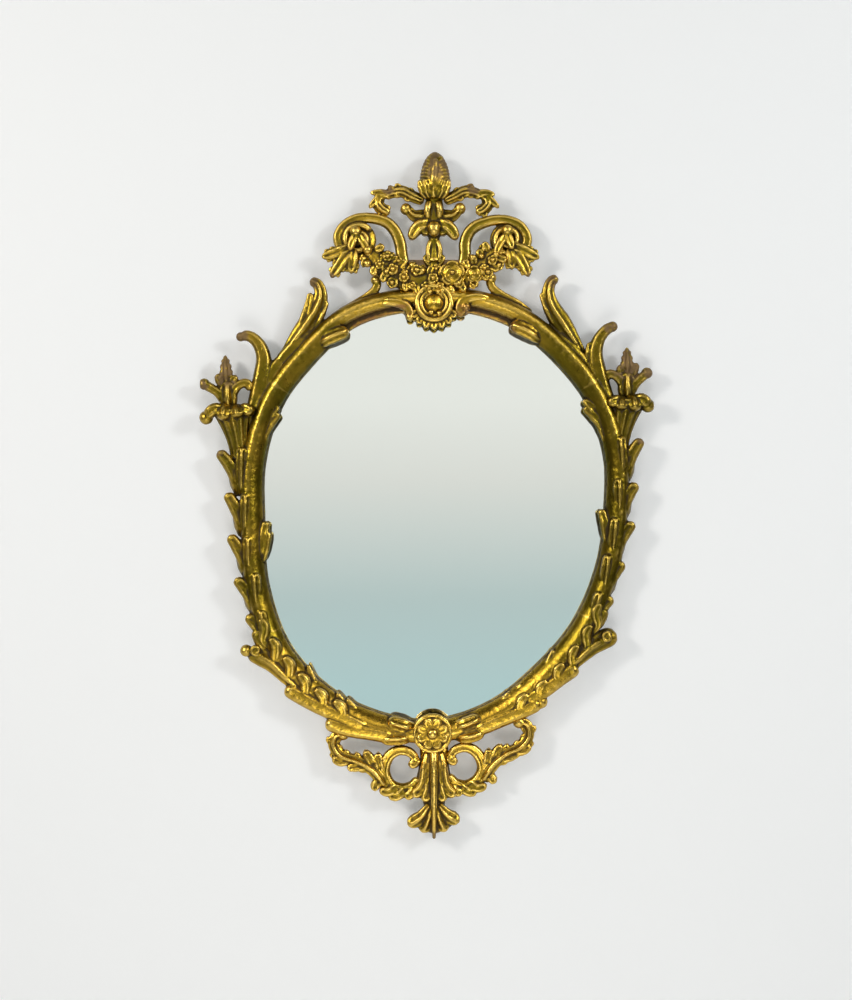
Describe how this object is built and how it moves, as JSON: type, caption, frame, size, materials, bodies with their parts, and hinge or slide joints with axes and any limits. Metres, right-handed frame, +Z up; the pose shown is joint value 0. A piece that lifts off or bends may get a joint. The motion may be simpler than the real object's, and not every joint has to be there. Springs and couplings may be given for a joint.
{
  "type": "wall mirror",
  "caption": "Wall mirror in a carved and gilded wood frame with a pierced crest of scrolls and a garland, husks down the sides and an openwork apron.",
  "frame": {"origin": "on the wall plane, at the axis of the hanging ring's knuckle, on the centre line", "axes": "+Z up; the mirror faces -Y and the wall is the plane y = 0; +X to the right for someone who faces the mirror"},
  "size_m": [0.4528, 0.045, 0.687],
  "materials": {
    "giltwood": "old gilding over red-brown bole, worn on the high points",
    "bare_wood": "bare softwood, aged brown",
    "back_board": "bare board, aged brown",
    "glass": "clear flat glass",
    "silvering": "silvered and painted behind, a few pinholes",
    "steel": "dull steel",
    "brass": "aged brass",
    "felt": "green-black felt"
  },
  "bodies": {
    "frame": {"rail_top_left": "giltwood", "rail_top_right": "giltwood", "rail_side_left": "giltwood", "rail_side_right": "giltwood", "rail_bottom_left": "giltwood", "rail_bottom_right": "giltwood", "bell_cup_left": "giltwood", "bell_cup_right": "giltwood", "bud_finial_left": "giltwood", "bud_finial_right": "giltwood", "crest_finial": "giltwood", "crest_stem": "giltwood", "crest_scroll_left": "giltwood", "crest_scroll_right": "giltwood", "crest_arm_left": "giltwood", "crest_arm_right": "giltwood", "crest_drop_left": "giltwood", "crest_drop_right": "giltwood", "crest_garland": "giltwood", "large_rose": "giltwood", "small_rose": "giltwood", "cartouche": "giltwood", "rosette": "giltwood", "apron_pendant": "giltwood", "apron_loop_left": "giltwood", "apron_loop_right": "giltwood", "apron_scroll_left": "giltwood", "apron_scroll_right": "giltwood", "joint_dowels": "bare_wood", "crest_brace": "bare_wood", "apron_brace": "bare_wood", "mirror_glass": "glass", "mirror_silvering": "silvering", "back_board": "back_board", "hanger_plate": "steel", "wall_bumpers": "felt", "plate_screws": "brass", "brace_screws": "steel", "button_screws": "brass"},
    "ring": {"hanging_ring": "brass"},
    "turn_button_1_body": {"turn_button_1": "brass"},
    "turn_button_2_body": {"turn_button_2": "brass"},
    "turn_button_3_body": {"turn_button_3": "brass"},
    "turn_button_4_body": {"turn_button_4": "brass"},
    "turn_button_5_body": {"turn_button_5": "brass"},
    "turn_button_6_body": {"turn_button_6": "brass"}
  },
  "joints": [
    {"name": "ring_swing", "type": "hinge", "parent": "frame", "child": "ring", "pos_m": [0, -0.003, 0], "axis": [1, 0, 0], "range_deg": [0, 180]},
    {"name": "turn_button_1_turn", "type": "hinge", "parent": "frame", "child": "turn_button_1_body", "pos_m": [-0.10122, -0.0046, -0.02673], "axis": [0, 1, 0], "range_deg": [0, 90]},
    {"name": "turn_button_2_turn", "type": "hinge", "parent": "frame", "child": "turn_button_2_body", "pos_m": [-0.1855, -0.0046, -0.20137], "axis": [0, 1, 0], "range_deg": [0, 90]},
    {"name": "turn_button_3_turn", "type": "hinge", "parent": "frame", "child": "turn_button_3_body", "pos_m": [-0.12187, -0.0046, -0.39638], "axis": [0, 1, 0], "range_deg": [0, 90]},
    {"name": "turn_button_4_turn", "type": "hinge", "parent": "frame", "child": "turn_button_4_body", "pos_m": [0.09853, -0.0046, -0.02541], "axis": [0, 1, 0], "range_deg": [0, 90]},
    {"name": "turn_button_5_turn", "type": "hinge", "parent": "frame", "child": "turn_button_5_body", "pos_m": [0.18655, -0.0046, -0.19321], "axis": [0, 1, 0], "range_deg": [0, 90]},
    {"name": "turn_button_6_turn", "type": "hinge", "parent": "frame", "child": "turn_button_6_body", "pos_m": [0.11239, -0.0046, -0.37982], "axis": [0, 1, 0], "range_deg": [0, 90]}
  ]
}
